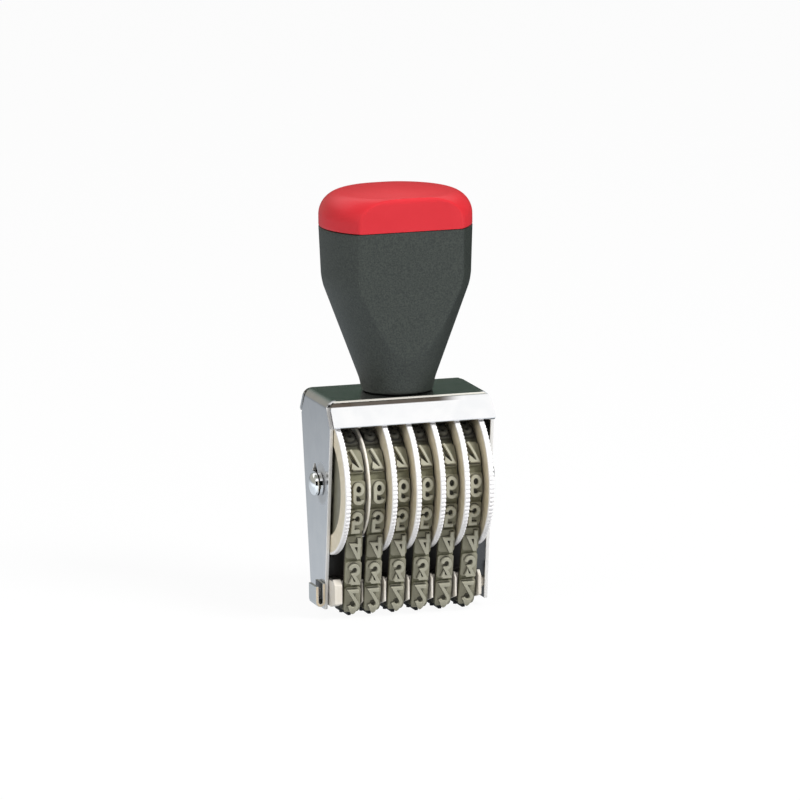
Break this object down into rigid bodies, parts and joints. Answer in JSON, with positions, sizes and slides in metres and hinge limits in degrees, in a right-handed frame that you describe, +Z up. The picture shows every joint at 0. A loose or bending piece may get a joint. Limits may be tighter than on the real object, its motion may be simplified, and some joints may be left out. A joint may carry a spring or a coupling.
{
  "type": "band numbering stamp",
  "caption": "Hand numbering stamp: thumb wheels drive rubber type bands over a bridge in a bent sheet frame under a flat-sided handle with a push-fit cap.",
  "frame": {"origin": "on the face of the type, under the centre of the overall box", "axes": "+Z up through the handle, +X along the wheels' axle towards the end with the collar, -Y the side where the thumb wheels stand out"},
  "size_m": [0.0424, 0.033, 0.0942],
  "materials": {
    "frame_nickel": "bright nickel plate on bent sheet steel, 0.8 mm",
    "turned_steel": "turned and nickel-plated steel",
    "clip_spring_steel": "bent spring steel with warm edges",
    "wheel_plastic": "ivory moulded plastic, semi-gloss",
    "band_rubber": "grey-olive moulded rubber, matte",
    "bridge_plastic": "cream moulded plastic, smooth",
    "handle_plastic": "charcoal moulded plastic with a fine spark-eroded grain",
    "cap_plastic": "red moulded plastic, satin"
  },
  "bodies": {
    "stamp": {"frame": "frame_nickel", "axle": "turned_steel", "axle_screw_left": "turned_steel", "axle_screw_right": "turned_steel", "axle_collar": "turned_steel", "handle_screw": "turned_steel", "handle_washer": "turned_steel", "separator_disc": "wheel_plastic", "bridge": "bridge_plastic", "bridge_clip": "clip_spring_steel", "handle_body": "handle_plastic", "handle_cap": "cap_plastic", "band_1": "band_rubber", "band_2": "band_rubber", "band_3": "band_rubber", "band_4": "band_rubber", "band_5": "band_rubber", "band_6": "band_rubber"},
    "wheel_1": {"wheel_1": "wheel_plastic"},
    "wheel_2": {"wheel_2": "wheel_plastic"},
    "wheel_3": {"wheel_3": "wheel_plastic"},
    "wheel_4": {"wheel_4": "wheel_plastic"},
    "wheel_5": {"wheel_5": "wheel_plastic"},
    "wheel_6": {"wheel_6": "wheel_plastic"}
  },
  "joints": [
    {"name": "wheel_1_turn", "type": "hinge", "parent": "stamp", "child": "wheel_1", "pos_m": [0.0004, -0.0007, 0.0296], "axis": [1, 0, 0], "continuous": true},
    {"name": "wheel_2_turn", "type": "hinge", "parent": "stamp", "child": "wheel_2", "pos_m": [0.0004, -0.0007, 0.0296], "axis": [1, 0, 0], "continuous": true},
    {"name": "wheel_3_turn", "type": "hinge", "parent": "stamp", "child": "wheel_3", "pos_m": [0.0004, -0.0007, 0.0296], "axis": [1, 0, 0], "continuous": true},
    {"name": "wheel_4_turn", "type": "hinge", "parent": "stamp", "child": "wheel_4", "pos_m": [0.0004, -0.0007, 0.0296], "axis": [1, 0, 0], "continuous": true},
    {"name": "wheel_5_turn", "type": "hinge", "parent": "stamp", "child": "wheel_5", "pos_m": [0.0004, -0.0007, 0.0296], "axis": [1, 0, 0], "continuous": true},
    {"name": "wheel_6_turn", "type": "hinge", "parent": "stamp", "child": "wheel_6", "pos_m": [0.0004, -0.0007, 0.0296], "axis": [1, 0, 0], "continuous": true}
  ]
}
